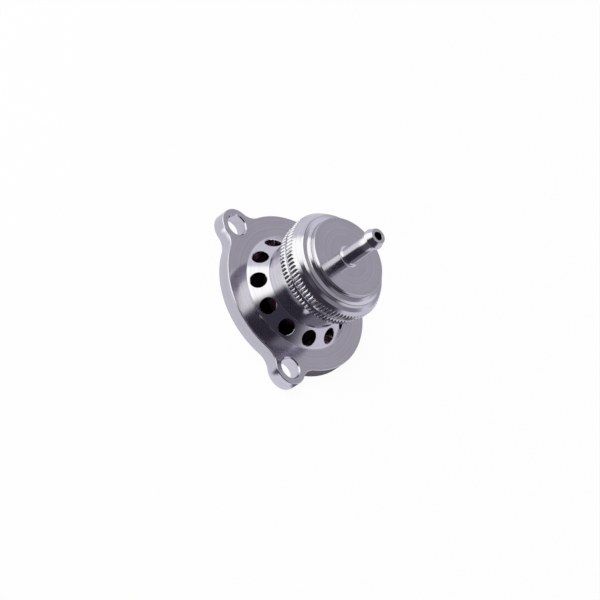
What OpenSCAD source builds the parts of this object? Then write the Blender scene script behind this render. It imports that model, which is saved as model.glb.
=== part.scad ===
// Piston blow off valve: a three-lug flange with a vented cone, a spring-loaded piston that shuts the inlet,
// and a knurled screw cap with a barbed nipple for the signal hose.
// The origin is the centre of the mounting face, and +Z is the piston's axis, towards the nipple.

/* [Mounting flange] */
// Diameter of the flange disc
flange_d = 51.2; // [50:0.1:53]
// Thickness of the flange
flange_t = 4.5; // [4:0.1:6]
// Diameter of the circle through the bolt holes
bolt_circle_d = 54.2; // [53.2:0.1:56.2]
// Diameter of a bolt hole
bolt_hole_d = 6.5; // [5.5:0.1:7]
// Number of bolt lugs
lug_count = 3; // [2:1:4]
// Metal left around a bolt hole
lug_wall = 2.1; // [1.6:0.05:2.5]
// Radius of the hollow corner where a lug leaves the disc
lug_fillet_r = 5.5; // [3:0.5:7]
// Bevel at both ends of a bolt hole
bolt_hole_break = 0.3; // [0.1:0.05:0.5]

/* [Vent cone and neck] */
// Diameter of the 45 degree cone where it meets the flange
cone_d = 37.4; // [36.5:0.1:39]
// Diameter of the neck above the cone
neck_d = 28; // [27.6:0.1:29]
// Height of the plain neck
neck_h = 8.3; // [7:0.1:10]
// Number of vents
vent_count = 12; // [6:1:12]
// Diameter of a vent
vent_d = 5; // [4:0.1:5.4]
// Bevel at the rim of a vent
vent_break = 0.2; // [0.1:0.05:0.4]
// Thickness of the cone's wall
cone_wall = 1.6; // [1.3:0.1:2]

/* [Grip ring and knurl] */
// Diameter of the grip ring over its knurl
ring_d = 33.2; // [32.5:0.1:34]
// Height of the grip ring
ring_h = 2.9; // [2.4:0.1:4]
// Plain bevel at the top of the grip ring
ring_bevel = 0.65; // [0.5:0.05:0.9]
// Number of teeth in each straight knurl
knurl_count = 84; // [60:1:96]
// Depth of a knurl
knurl_depth = 0.42; // [0.3:0.02:0.5]
// Share of the pitch left as a flat land on a tooth
knurl_land = 0.2; // [0.1:0.05:0.4]

/* [Cap] */
// Diameter of the cap over its knurl
cap_d = 34.4; // [34:0.1:36]
// Bevel at the foot of the cap
cap_foot_bevel = 1; // [0.7:0.05:1.3]
// Height of the knurled band, foot bevel included
cap_grip_h = 3.1; // [2.6:0.1:4.8]
// Diameter at the top of the steep band above the knurl
cap_band_d = 32.3; // [31.9:0.1:32.8]
// Height of the steep band
cap_band_h = 1.7; // [1.4:0.1:2]
// Diameter at the top of the shoulder cone
cap_shoulder_d = 29.6; // [29:0.1:31]
// Height of the shoulder cone
cap_shoulder_h = 1.7; // [1.2:0.1:2]
// Height of the shallow cone between shoulder and boss
cap_apron_h = 1; // [0.6:0.1:1.2]
// Diameter of the raised boss
boss_d = 25.6; // [25:0.1:27]
// Height of the raised boss
boss_h = 1.7; // [1.4:0.1:2.6]
// Bevel at the boss's top edge
boss_break = 0.15; // [0.1:0.05:0.3]
// Thickness of the cap over the spring
cap_roof_t = 2.4; // [2:0.1:3]

/* [Hose nipple] */
// Diameter of the nipple's stem
nipple_d = 5.34; // [4.8:0.02:5.8]
// Radius of the hollow foot between stem and cap
nipple_foot_r = 1; // [0.6:0.05:1.2]
// Height from the cap's face to the underside of the barb
nipple_reach = 11.1; // [10:0.1:16]
// Diameter of the barb
barb_d = 6.54; // [6.2:0.02:7]
// Length of the straight land on the barb
barb_land = 0.8; // [0.8:0.1:2]
// Length of the barb's tapered end
barb_taper_h = 2; // [1.2:0.1:2.4]
// Diameter of the barb's end face
barb_tip_d = 4.9; // [4.4:0.1:5.4]
// Diameter of the signal bore
nipple_bore_d = 2.8; // [2.4:0.1:3.2]
// Diameter of the shank that is pressed into the cap
shank_d = 5; // [4.6:0.1:5.2]

/* [Valve bore and seat] */
// Diameter of the inlet
inlet_d = 19; // [18:0.1:19.4]
// Height of the seat lip above the mounting face
seat_z = 2.3; // [2.1:0.1:2.8]
// Width of the seat lip
seat_w = 1; // [0.8:0.1:1.2]
// Floor left under the vent chamber
chamber_floor_t = 1.8; // [1.5:0.1:2]
// Diameter of the piston's bore
piston_bore_d = 22; // [21.6:0.1:22.4]
// Diameter of the thread between body and cap
thread_d = 27; // [26.6:0.1:27.3]
// Bevel at the top of the threaded neck
thread_break = 0.4; // [0.2:0.05:0.6]

/* [Piston] */
// How far the piston lifts
piston_travel = 7; // [5:0.1:7]
// Diameter of the spring's pocket in the piston
pocket_d = 15.6; // [15.4:0.1:16]
// Thickness of the piston's floor
piston_floor_t = 2; // [1.6:0.1:2.6]
// Diameter of the spigot that reaches into the inlet
spigot_d = 17; // [16.4:0.1:17.4]
// How far the spigot reaches below the seal
spigot_h = 0.7; // [0.4:0.1:1]
// Bevel at the piston's edges
piston_break = 0.4; // [0.2:0.1:0.6]
// Width of the guide ring
guide_w = 2.5; // [2:0.1:3]
// Thickness of the guide ring
guide_t = 1.4; // [1.2:0.1:1.6]
// Height of the guide ring above the lower end of its bore
guide_lift = 1; // [0.6:0.1:1.4]
// Plain land above the piston's O-ring
top_land = 1.2; // [1:0.1:1.6]

/* [Return spring] */
// Diameter of the spring's wire
wire_d = 1.5; // [1.2:0.05:1.7]
// Number of turns, closed end turns included
spring_turns = 8; // [6:0.5:9]
// Thickness of one preload shim
shim_t = 0.5; // [0.3:0.05:0.7]

/* [Seals] */
// Thickness of the rubber ring on the piston's nose
nose_seal_t = 1.25; // [1:0.05:1.6]
// Width of the ledge that carries the rubber ring
nose_ledge_w = 2.3; // [1.8:0.1:2.8]
// Section of the piston's O-ring
piston_oring_d = 1.78; // [1.5:0.02:2]
// Section of the O-ring under the cap
cap_oring_d = 1.5; // [1.3:0.05:1.6]
// Section of the O-ring in the mounting face
base_oring_d = 1.4; // [1.2:0.05:1.6]
// Metal between the vent chamber and the mounting face's groove
base_groove_wall = 2; // [1.6:0.1:2.6]

/* [Clearances] */
// Gap around the piston's skirt
skirt_gap = 0.2; // [0.15:0.01:0.3]
// Gap between the guide ring and the bore
guide_gap = 0.06; // [0.04:0.01:0.1]
// Gap between an O-ring and each face beside it
seal_gap = 0.06; // [0.04:0.01:0.1]
// Gap between the two halves of the cap's thread
thread_gap = 0.1; // [0.06:0.01:0.15]
// Gap between the spring and its pocket
spring_gap = 0.45; // [0.3:0.05:0.6]
// Gap between the piston's top and the cap at full lift, and above the threaded neck
top_gap = 0.5; // [0.3:0.05:0.8]

/* [Hidden] */

$fn = 96;
sqrt_half = sqrt(0.5);
// Length by which a cutter runs past the face that it opens
cut_past = 1;

// Flange outline
flange_r = flange_d / 2;
lug_r = bolt_hole_d / 2 + lug_wall;
lug_reach = bolt_circle_d / 2;
lug_first_a = 90;
lug_step_a = 360 / lug_count;
// How far a hollow corner's arc dips into the disc and the lug that it joins
corner_bite = 0.02;
// Bearing of a hollow corner's centre from the lug, by the cosine rule
corner_reach = flange_r + lug_fillet_r;
corner_a = acos((pow(lug_reach, 2) + pow(corner_reach, 2) - pow(lug_r + lug_fillet_r, 2))
    / (2 * lug_reach * corner_reach));
corner = corner_reach * [cos(corner_a), sin(corner_a)];

// Heights of the body
cone_r = cone_d / 2;
neck_r = neck_d / 2;
neck_z = flange_t + cone_r - neck_r;
ring_z = neck_z + neck_h;
joint_z = ring_z + ring_h;
ring_r = ring_d / 2;

// Heights of the cap
grip_top_z = joint_z + cap_grip_h;
band_top_z = grip_top_z + cap_band_h;
shoulder_top_z = band_top_z + cap_shoulder_h;
boss_z = shoulder_top_z + cap_apron_h;
cap_top_z = boss_z + boss_h;
recess_z = cap_top_z - cap_roof_t;
ceiling_z = recess_z - 2 * shim_t;
neck_top_z = ceiling_z - top_gap;

// Vents: the axis stands square on the middle of the cone
vent_mid_r = (cone_r + neck_r) / 2;
vent_mid_z = (flange_t + neck_z) / 2;
vent_step_a = 360 / vent_count;
vent_half_rise = vent_d / 2 * sqrt_half;

// Vent chamber: its wall starts where the lower edge of a vent comes down to the floor
chamber_floor_z = chamber_floor_t;
chamber_lip = 0.2;
chamber_r = vent_mid_r - vent_mid_z + 2 * vent_half_rise + chamber_floor_z + chamber_lip;
chamber_slant = cone_r + flange_t - cone_wall / sqrt_half;
bore_r = piston_bore_d / 2;
bore_z = chamber_slant - bore_r;
vent_depth = (vent_mid_r + vent_half_rise - chamber_r + chamber_lip / 2) / sqrt_half;
inlet_r = inlet_d / 2;
thread_r = thread_d / 2;

// Piston
skirt_r = bore_r - skirt_gap;
ledge_in_r = skirt_r - nose_ledge_w;
nose_z = seat_z + seal_gap;
shoulder_z = nose_z + nose_seal_t;
pocket_z = shoulder_z + piston_floor_t;
pocket_r = pocket_d / 2;
piston_top_z = ceiling_z - top_gap - piston_travel;
guide_z = bore_z + guide_lift;
guide_r = bore_r - guide_gap;
groove_r = bore_r - piston_oring_d - 2 * seal_gap;
groove_w = piston_oring_d + 4 * seal_gap;
groove_z = piston_top_z - top_land - groove_w;

// Spring and shims
spring_r = pocket_r - spring_gap - wire_d / 2;
shim_r = pocket_r - seal_gap;
shim_hole_r = spring_r - wire_d;

// O-rings
cap_oring_in_r = thread_r + seal_gap;
cap_groove_r = cap_oring_in_r + cap_oring_d + seal_gap;
cap_groove_h = cap_oring_d + 2 * seal_gap;
base_groove_in_r = chamber_r + base_groove_wall;
base_groove_w = base_oring_d + 4 * seal_gap;
base_groove_h = base_oring_d + 2 * seal_gap;

aluminium = [0.62, 0.605, 0.66];
anodised = [0.16, 0.05, 0.09];
rubber = [0.06, 0.06, 0.065];
guide_white = [0.82, 0.81, 0.77];
spring_steel = [0.55, 0.55, 0.57];

module at_lugs() {
    for (i = [0 : lug_count - 1])
        rotate(lug_first_a + i * lug_step_a) children();
}

module at_vents() {
    for (i = [0 : vent_count - 1])
        rotate((i + 0.5) * vent_step_a)
            translate([vent_mid_r, 0, vent_mid_z]) rotate([0, 45, 0]) children();
}

module o_ring(mid_r, mid_z, section_d) {
    rotate_extrude() translate([mid_r, mid_z]) circle(d = section_d, $fn = 32);
}

// Prism whose sides are the flanks of a straight knurl that is r_tip at its lands
module knurl_prism(r_tip, z, h) {
    r_root = r_tip - knurl_depth;
    r_point = r_root + knurl_depth / (1 - knurl_land);
    translate([0, 0, z]) linear_extrude(h)
        polygon([for (i = [0 : 2 * knurl_count - 1])
            (i % 2 == 0 ? r_point : r_root) * [cos(i * 180 / knurl_count), sin(i * 180 / knurl_count)]]);
}

// Disc with its lugs, each blended in by a hollow corner on both sides
module flange_outline() {
    circle(r = flange_r);
    at_lugs() {
        translate([lug_reach, 0]) circle(r = lug_r);
        difference() {
            polygon([[-cut_past, 0], [corner.x, -corner.y], [lug_reach, 0], corner]);
            for (side = [-1, 1])
                translate([corner.x, side * corner.y]) circle(r = lug_fillet_r + corner_bite);
        }
    }
}

module bolt_hole() {
    translate([lug_reach, 0, -cut_past]) cylinder(d = bolt_hole_d, h = flange_t + 2 * cut_past);
    for (top = [0, 1])
        translate([lug_reach, 0, top * flange_t]) mirror([0, 0, 1 - top])
            translate([0, 0, -bolt_hole_break])
                cylinder(r1 = bolt_hole_d / 2, r2 = bolt_hole_d / 2 + 2 * bolt_hole_break,
                    h = 2 * bolt_hole_break);
}

module vent() {
    translate([0, 0, -vent_depth]) cylinder(d = vent_d, h = vent_depth + cut_past);
    translate([0, 0, -vent_break])
        cylinder(r1 = vent_d / 2, r2 = vent_d / 2 + vent_break + cut_past, h = vent_break + cut_past);
}

// Solid of the cone, the neck and the threaded top
module hub() {
    rotate_extrude()
        polygon([[0, 0], [cone_r, 0], [cone_r, flange_t], [neck_r, neck_z], [neck_r, joint_z],
            [thread_r, joint_z], [thread_r, neck_top_z - thread_break],
            [thread_r - thread_break, neck_top_z], [0, neck_top_z]]);
}

module grip_ring() {
    intersection() {
        rotate_extrude()
            polygon([[bore_r + skirt_gap, ring_z], [ring_r - knurl_depth, ring_z],
                [ring_r, ring_z + knurl_depth], [ring_r, joint_z - ring_bevel],
                [ring_r - ring_bevel, joint_z], [bore_r + skirt_gap, joint_z]]);
        knurl_prism(ring_r, ring_z - cut_past, ring_h + 2 * cut_past);
    }
}

// Everything that is bored out along the axis: inlet, seat, vent chamber and piston bore
module valve_bore() {
    seat_r = inlet_r + seat_w;
    rotate_extrude()
        polygon([[0, -cut_past], [inlet_r, -cut_past], [inlet_r, seat_z], [seat_r, seat_z],
            [seat_r, chamber_floor_z], [chamber_r, chamber_floor_z], [chamber_r, chamber_slant - chamber_r],
            [bore_r, bore_z], [bore_r, neck_top_z + cut_past], [0, neck_top_z + cut_past]]);
}

module valve_body() {
    color(aluminium) difference() {
        union() {
            linear_extrude(flange_t) flange_outline();
            hub();
            grip_ring();
        }
        valve_bore();
        at_vents() vent();
        at_lugs() bolt_hole();
        rotate_extrude()
            translate([base_groove_in_r, -cut_past]) square([base_groove_w, base_groove_h + cut_past]);
    }
}

module base_oring() {
    color(rubber) o_ring(base_groove_in_r + base_groove_w / 2, base_groove_h / 2, base_oring_d);
}

module piston() {
    spigot_r = spigot_d / 2;
    guide_root_r = guide_r - guide_t;
    color(anodised) union() {
        rotate_extrude()
            polygon([[0, nose_z - spigot_h], [spigot_r - piston_break, nose_z - spigot_h],
                [spigot_r, nose_z - spigot_h + piston_break], [spigot_r, nose_z], [0, nose_z]]);
        rotate_extrude()
            polygon([[0, nose_z], [ledge_in_r, nose_z], [ledge_in_r, shoulder_z], [skirt_r, shoulder_z],
                [skirt_r, guide_z - seal_gap], [guide_root_r, guide_z - seal_gap],
                [guide_root_r, guide_z + guide_w + seal_gap], [skirt_r, guide_z + guide_w + seal_gap],
                [skirt_r, groove_z], [groove_r, groove_z], [groove_r, groove_z + groove_w],
                [skirt_r, groove_z + groove_w], [skirt_r, piston_top_z - piston_break],
                [skirt_r - piston_break, piston_top_z], [pocket_r, piston_top_z], [pocket_r, pocket_z],
                [0, pocket_z]]);
    }
}

module piston_seal() {
    color(rubber) translate([0, 0, nose_z]) difference() {
        cylinder(r = skirt_r, h = nose_seal_t);
        translate([0, 0, -cut_past]) cylinder(r = ledge_in_r + seal_gap, h = nose_seal_t + 2 * cut_past);
    }
}

module piston_guide_ring() {
    color(guide_white) translate([0, 0, guide_z]) difference() {
        cylinder(r = guide_r, h = guide_w);
        translate([0, 0, -cut_past]) cylinder(r = guide_r - guide_t + seal_gap, h = guide_w + 2 * cut_past);
    }
}

module piston_oring() {
    color(rubber) o_ring(groove_r + seal_gap + piston_oring_d / 2, groove_z + groove_w / 2, piston_oring_d);
}

// Height of the wire's centre after a number of turns: closed end turns, open turns between them
function wire_z(turn, length) =
    let (open_turns = spring_turns - 2, open_rise = length - 2 * wire_d)
    turn < 1 ? wire_d * turn
    : turn > spring_turns - 1 ? wire_d + open_rise + wire_d * (turn - spring_turns + 1)
    : wire_d + open_rise * (turn - 1) / open_turns;

// Coil spring that stands on z = 0, with both ends ground flat
module coil_spring(length) {
    sides = 8;
    steps_per_turn = 20;
    rings = spring_turns * steps_per_turn;
    points = [for (i = [0 : rings], s = [0 : sides - 1])
        let (turn = i / steps_per_turn, a = 360 * turn, b = 360 * s / sides,
            r = spring_r + wire_d / 2 * cos(b))
        [r * cos(a), r * sin(a), wire_z(turn, length) + wire_d / 2 * sin(b)]];
    side_faces = [for (i = [0 : rings - 1], s = [0 : sides - 1])
        let (t = (s + 1) % sides)
        [i * sides + s, i * sides + t, (i + 1) * sides + t, (i + 1) * sides + s]];
    start_face = [[for (s = [sides - 1 : -1 : 0]) s]];
    end_face = [[for (s = [0 : sides - 1]) rings * sides + s]];
    intersection() {
        polyhedron(points, concat(side_faces, start_face, end_face));
        cylinder(r = spring_r + wire_d, h = length);
    }
}

module return_spring() {
    color(spring_steel) translate([0, 0, pocket_z]) coil_spring(ceiling_z - pocket_z);
}

module spring_shim(place) {
    color(spring_steel) translate([0, 0, ceiling_z + place * shim_t]) difference() {
        cylinder(r = shim_r, h = shim_t);
        translate([0, 0, -cut_past]) cylinder(r = shim_hole_r, h = shim_t + 2 * cut_past);
    }
}

module cap() {
    cap_r = cap_d / 2;
    boss_r = boss_d / 2;
    cap_thread_r = thread_r + thread_gap;
    groove_top_z = joint_z + cap_groove_h;
    color(aluminium) intersection() {
        rotate_extrude()
            polygon([[cap_groove_r, joint_z], [cap_r - cap_foot_bevel, joint_z],
                [cap_r, joint_z + cap_foot_bevel], [cap_r, grip_top_z], [cap_band_d / 2, band_top_z],
                [cap_shoulder_d / 2, shoulder_top_z], [boss_r, boss_z], [boss_r, cap_top_z - boss_break],
                [boss_r - boss_break, cap_top_z], [shank_d / 2, cap_top_z], [shank_d / 2, recess_z],
                [pocket_r, recess_z], [pocket_r, ceiling_z], [cap_thread_r, ceiling_z],
                [cap_thread_r, groove_top_z], [cap_groove_r, groove_top_z]]);
        knurl_prism(cap_r, joint_z - cut_past, cap_top_z - joint_z + 2 * cut_past);
    }
}

module cap_oring() {
    color(rubber) o_ring(cap_oring_in_r + cap_oring_d / 2, joint_z + cap_groove_h / 2, cap_oring_d);
}

module hose_nipple() {
    stem_r = nipple_d / 2;
    bore_r = nipple_bore_d / 2;
    barb_r = barb_d / 2;
    barb_z = cap_top_z + nipple_reach;
    tip_z = barb_z + barb_land + barb_taper_h;
    foot = [for (a = [-90 : -15 : -180])
        [stem_r, cap_top_z] + nipple_foot_r * [1 + cos(a), 1 + sin(a)]];
    color(aluminium) rotate_extrude()
        polygon(concat([[bore_r, recess_z], [shank_d / 2, recess_z], [shank_d / 2, cap_top_z]], foot,
            [[stem_r, barb_z], [barb_r, barb_z], [barb_r, barb_z + barb_land], [barb_tip_d / 2, tip_z],
                [bore_r, tip_z]]));
}

valve_body();
base_oring();
piston();
piston_seal();
piston_guide_ring();
piston_oring();
return_spring();
spring_shim(0);  // spring_shim_1
spring_shim(1);  // spring_shim_2
cap();
cap_oring();
hose_nipple();
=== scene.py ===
"""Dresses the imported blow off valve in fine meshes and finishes, and sets up its studio and camera."""
import logging
import math
from dataclasses import dataclass
from enum import Enum
from typing import Any, Sequence, Union

import bmesh
import bpy
from mathutils import Matrix, Vector


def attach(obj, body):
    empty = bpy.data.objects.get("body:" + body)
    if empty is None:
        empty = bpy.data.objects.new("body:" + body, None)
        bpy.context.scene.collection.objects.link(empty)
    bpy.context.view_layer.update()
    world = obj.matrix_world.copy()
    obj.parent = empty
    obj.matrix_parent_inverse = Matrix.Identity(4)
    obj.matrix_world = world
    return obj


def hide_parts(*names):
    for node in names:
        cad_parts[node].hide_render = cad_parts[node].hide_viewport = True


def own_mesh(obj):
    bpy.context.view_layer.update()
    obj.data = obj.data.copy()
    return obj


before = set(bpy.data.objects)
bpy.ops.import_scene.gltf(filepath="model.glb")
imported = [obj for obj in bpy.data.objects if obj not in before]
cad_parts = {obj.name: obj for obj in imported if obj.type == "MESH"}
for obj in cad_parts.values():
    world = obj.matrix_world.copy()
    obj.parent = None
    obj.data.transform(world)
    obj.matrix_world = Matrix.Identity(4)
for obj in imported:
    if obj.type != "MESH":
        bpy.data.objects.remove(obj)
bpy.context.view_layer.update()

MM = 0.001
# Width of the flat strip that keeps an edge round's shading off the face beside it, in mm
SUPPORT = 0.05
# Largest share of a corner's shorter side that its edge round takes
EDGE_SHARE = 0.45
# Radius below which a point of a profile lies on the axis, in mm
ON_AXIS = 1e-6
SHARP_ANGLE = math.radians(28)
# Teeth of the knurl on the ring and of the one on the cap
KNURL_TEETH = 84
# Columns of points round a plain ring and round a drill
RING_COLUMNS = 192
DRILL_COLUMNS = 56

log = logging.getLogger("valve")


class Slot(Enum):
    """Material slots of the record."""

    ALUMINIUM = "machined_aluminium"
    PISTON = "anodised_piston"
    RUBBER = "seal_rubber"
    POLYMER = "guide_polymer"
    STEEL = "spring_steel"


class Body(Enum):
    """Bodies that move as one."""

    VALVE = "valve"
    PISTON = "piston"
    CAP_SEAL = "cap_seal"
    CAP = "cap"


class Edge(float, Enum):
    """Radii of the edge rounds, in mm."""

    KEEN = 0.06
    LAPPED = 0.08
    FINE = 0.1
    CRISP = 0.12
    EASED = 0.15
    DRESSED = 0.18
    SOFT = 0.2
    DULLED = 0.25
    BLUNT = 0.3
    FULL = 0.4


class Wire:
    """A value in a node tree. Its operators add Math nodes to that tree."""

    def __init__(self, graph: "Graph", socket: bpy.types.NodeSocket) -> None:
        """Keeps the tree and the output socket that carries the value."""
        self.graph = graph
        self.socket = socket

    def math(self, operation: str, *others: "Value") -> "Wire":
        """Adds a Math node whose first input is this value.

        Args:
            operation: The Math node's operation.
            others: Its other inputs.

        Returns:
            The result.
        """
        return self.graph.math(operation, self, *others)

    def __add__(self, other: "Value") -> "Wire":
        """self + other."""
        return self.math("ADD", other)

    def __sub__(self, other: "Value") -> "Wire":
        """self - other."""
        return self.math("SUBTRACT", other)

    def __mul__(self, other: "Value") -> "Wire":
        """self * other."""
        return self.math("MULTIPLY", other)

    def __truediv__(self, other: "Value") -> "Wire":
        """self / other."""
        return self.math("DIVIDE", other)

    def __rsub__(self, other: "Value") -> "Wire":
        """other - self."""
        return self.graph.math("SUBTRACT", other, self)

    def __rtruediv__(self, other: "Value") -> "Wire":
        """other / self."""
        return self.graph.math("DIVIDE", other, self)

    def __gt__(self, other: "Value") -> "Wire":
        """1 where self is above other, else 0."""
        return self.math("GREATER_THAN", other)

    def __lt__(self, other: "Value") -> "Wire":
        """1 where self is below other, else 0."""
        return self.math("LESS_THAN", other)

    def __abs__(self) -> "Wire":
        """Size of self without its sign."""
        return self.math("ABSOLUTE")

    __radd__ = __add__
    __rmul__ = __mul__

    def clamp(self) -> "Wire":
        """self, held between 0 and 1."""
        return self.math("MAXIMUM", 0.0).math("MINIMUM", 1.0)

    def smooth(self, low: float, high: float) -> "Wire":
        """0 below low, 1 above high, and a smooth step between them."""
        t = ((self - low) / (high - low)).clamp()
        return t * t * (3.0 - 2.0 * t)


Value = Union[Wire, float]
Colour = Union[Wire, Sequence[float]]


class Graph:
    """A shader or geometry node tree that is being built."""

    def __init__(self, tree: bpy.types.NodeTree) -> None:
        """Keeps the tree that the nodes go into."""
        self.tree = tree

    def node(self, kind: str, settings: dict[str, Any] | None = None,
             inputs: dict[str | int, Any] | None = None) -> bpy.types.Node:
        """Adds a node of any type.

        Args:
            kind: The node's type name.
            settings: Its properties, which are set first.
            inputs: Values or wires of its input sockets, by name or number.

        Returns:
            The node.
        """
        made = self.tree.nodes.new(kind)
        for name, value in (settings or {}).items():
            setattr(made, name, value)
        for key, value in (inputs or {}).items():
            if isinstance(value, Wire):
                self.tree.links.new(value.socket, made.inputs[key])
            else:
                made.inputs[key].default_value = value
        return made

    def wire(self, kind: str, settings: dict[str, Any] | None = None,
             inputs: dict[str | int, Any] | None = None, output: str | int = 0) -> Wire:
        """Adds a node as node() does, and returns one of its outputs as a wire."""
        return Wire(self, self.node(kind, settings, inputs).outputs[output])

    def math(self, operation: str, *values: Value) -> Wire:
        """Adds a Math node on the values, and returns its result."""
        return self.wire("ShaderNodeMath", {"operation": operation}, dict(enumerate(values)))

    def split(self, vector: Wire) -> tuple[Wire, Wire, Wire]:
        """Returns the three parts of a vector."""
        parts = self.node("ShaderNodeSeparateXYZ", inputs={0: vector}).outputs
        return Wire(self, parts[0]), Wire(self, parts[1]), Wire(self, parts[2])

    def join(self, x: Value, y: Value, z: Value) -> Wire:
        """Returns a vector of three parts."""
        return self.wire("ShaderNodeCombineXYZ", inputs={0: x, 1: y, 2: z})

    def noise_1d(self, along: Value, per_unit: float, detail: float = 2.0) -> Wire:
        """Returns noise from 0 to 1 that changes along one coordinate only."""
        return self.wire("ShaderNodeTexNoise", {"noise_dimensions": "1D"},
                         {"W": along, "Scale": per_unit, "Detail": detail, "Roughness": 0.6})

    def noise_3d(self, vector: Wire, per_unit: float, detail: float = 3.0) -> Wire:
        """Returns noise from 0 to 1 in space."""
        return self.wire("ShaderNodeTexNoise", {"noise_dimensions": "3D"},
                         {"Vector": vector, "Scale": per_unit, "Detail": detail, "Roughness": 0.55})

    def mix_colour(self, factor: Value, low: Colour, high: Colour) -> Wire:
        """Returns the colour low where factor is 0, high where it is 1, and a mix between."""
        ends = [c if isinstance(c, Wire) else (*c, 1.0) for c in (low, high)]
        # Inputs 6 and 7 and output 2 are the Mix node's colour sockets
        return self.wire("ShaderNodeMix", {"data_type": "RGBA"}, {0: factor, 6: ends[0], 7: ends[1]}, 2)


def hypot(x: Wire, y: Wire) -> Wire:
    """Returns the length of the flat vector (x, y)."""
    return (x * x + y * y).math("SQRT")


def tooth_offset(x: Wire, y: Wire, teeth: Value) -> Wire:
    """Returns how far each place is from the middle of its tooth, as a share of a knurl's pitch."""
    phase = y.math("ARCTAN2", x) / math.tau * teeth
    return abs((phase + 0.5).math("FRACT") - 0.5)


@dataclass(frozen=True)
class Corner:
    """A corner of a turned profile, in mm, with the radius of its edge round."""

    r: float
    z: float
    edge: float = 0.0
    steps: int = 3


Point = tuple[float, float]


def rounded_profile(corners: Sequence[Corner], closed: bool = True) -> list[Point]:
    """Turns corners into points, with an arc in place of each rounded corner.

    Args:
        corners: The corners in order.
        closed: Whether the last corner joins the first.

    Returns:
        The points (r, z) of the profile, in mm.
    """
    points: list[Point] = []
    last = len(corners) - 1
    for i, corner in enumerate(corners):
        here = Vector((corner.r, corner.z))
        if corner.edge <= 0 or (not closed and i in (0, last)):
            points.append((here.x, here.y))
            continue
        before, after = corners[i - 1], corners[(i + 1) % len(corners)]
        back = Vector((before.r, before.z)) - here
        fore = Vector((after.r, after.z)) - here
        room = EDGE_SHARE * min(back.length, fore.length)
        back.normalize()
        fore.normalize()
        half = back.angle(fore) / 2
        reach = min(corner.edge / math.tan(half), room)
        radius = reach * math.tan(half)
        centre = here + (back + fore).normalized() * (radius / math.sin(half))
        start, end = here + back * reach - centre, here + fore * reach - centre
        first = math.atan2(start.y, start.x)
        sweep = math.remainder(math.atan2(end.y, end.x) - first, math.tau)
        arc = [centre + radius * Vector((math.cos(first + sweep * k / corner.steps),
                                         math.sin(first + sweep * k / corner.steps)))
               for k in range(corner.steps + 1)]
        if reach + 2 * SUPPORT < room * 2:
            arc = [here + back * (reach + SUPPORT), *arc, here + fore * (reach + SUPPORT)]
        points.extend((p.x, p.y) for p in arc)
    return points


def even_angles(count: int) -> list[float]:
    """Returns count angles, evenly spaced round the axis."""
    return [math.tau * i / count for i in range(count)]


def bridge(bm: bmesh.types.BMesh, low: list, high: list) -> None:
    """Joins two rings of one length by quads, or a ring to a single pole by triangles.

    Args:
        bm: The mesh.
        low: Points of the first ring, or the pole.
        high: Points of the second ring, or the pole.
    """
    count = max(len(low), len(high))
    for i in range(count):
        j = (i + 1) % count
        loop = [low[i % len(low)], low[j % len(low)], high[j % len(high)], high[i % len(high)]]
        bm.faces.new(list(dict.fromkeys(loop)))


def zip_rings(bm: bmesh.types.BMesh, inner: list, outer: list) -> None:
    """Fills the flat space between two rings whose points lie at different angles.

    Args:
        bm: The mesh.
        inner: Points of the inner ring, in order of their angle.
        outer: Points of the outer ring, in order of their angle.
    """
    def turn(ring: list, k: int) -> float:
        """Follows a ring round the axis.

        Args:
            ring: The ring's points.
            k: Number of a point, which may go on past the last one.

        Returns:
            The point's angle, which goes on rising past a full turn.
        """
        first = math.atan2(ring[0].co.y, ring[0].co.x)
        point = ring[k % len(ring)].co
        step = (math.atan2(point.y, point.x) - first) % math.tau
        return first + step + math.tau * (k // len(ring))

    start = turn(inner, 0)
    shift = min(range(len(outer)), key=lambda k: abs(math.remainder(turn(outer, k) - start, math.tau)))
    outer = outer[shift:] + outer[:shift]
    lap = math.tau * round((start - turn(outer, 0)) / math.tau)
    i = j = 0
    while i < len(inner) or j < len(outer):
        a, b = inner[i % len(inner)], outer[j % len(outer)]
        if j >= len(outer) or (i < len(inner) and turn(inner, i + 1) <= turn(outer, j + 1) + lap):
            i += 1
            bm.faces.new((a, b, inner[i % len(inner)]))
        else:
            j += 1
            bm.faces.new((a, b, outer[j % len(outer)]))


def turn_rings(bm: bmesh.types.BMesh, profile: Sequence[Point], angles: Sequence[float]) -> list[list]:
    """Adds a ring of points for each point of a profile, or a pole where it meets the axis.

    Args:
        bm: The mesh.
        profile: The points (r, z), in mm.
        angles: Angles of the columns of points.

    Returns:
        The rings, in the profile's order.
    """
    rings = []
    for r, z in profile:
        ring = [(0.0, 0.0)] if r < ON_AXIS else [(r * math.cos(a), r * math.sin(a)) for a in angles]
        rings.append([bm.verts.new((x * MM, y * MM, z * MM)) for x, y in ring])
    return rings


def to_object(bm: bmesh.types.BMesh, name: str) -> bpy.types.Object:
    """Turns a bmesh into a smooth object of the scene, with its faces outwards.

    Args:
        bm: The mesh, which is freed.
        name: The object's name.

    Returns:
        The object.
    """
    bmesh.ops.recalc_face_normals(bm, faces=bm.faces)
    mesh = bpy.data.meshes.new(name)
    bm.to_mesh(mesh)
    bm.free()
    made = bpy.data.objects.new(name, mesh)
    bpy.context.scene.collection.objects.link(made)
    smooth_mesh(mesh)
    return made


def smooth_mesh(mesh: bpy.types.Mesh) -> None:
    """Shades a mesh smooth, with its true edges left sharp."""
    mesh.shade_smooth()
    mesh.set_sharp_from_angle(angle=SHARP_ANGLE)


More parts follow.
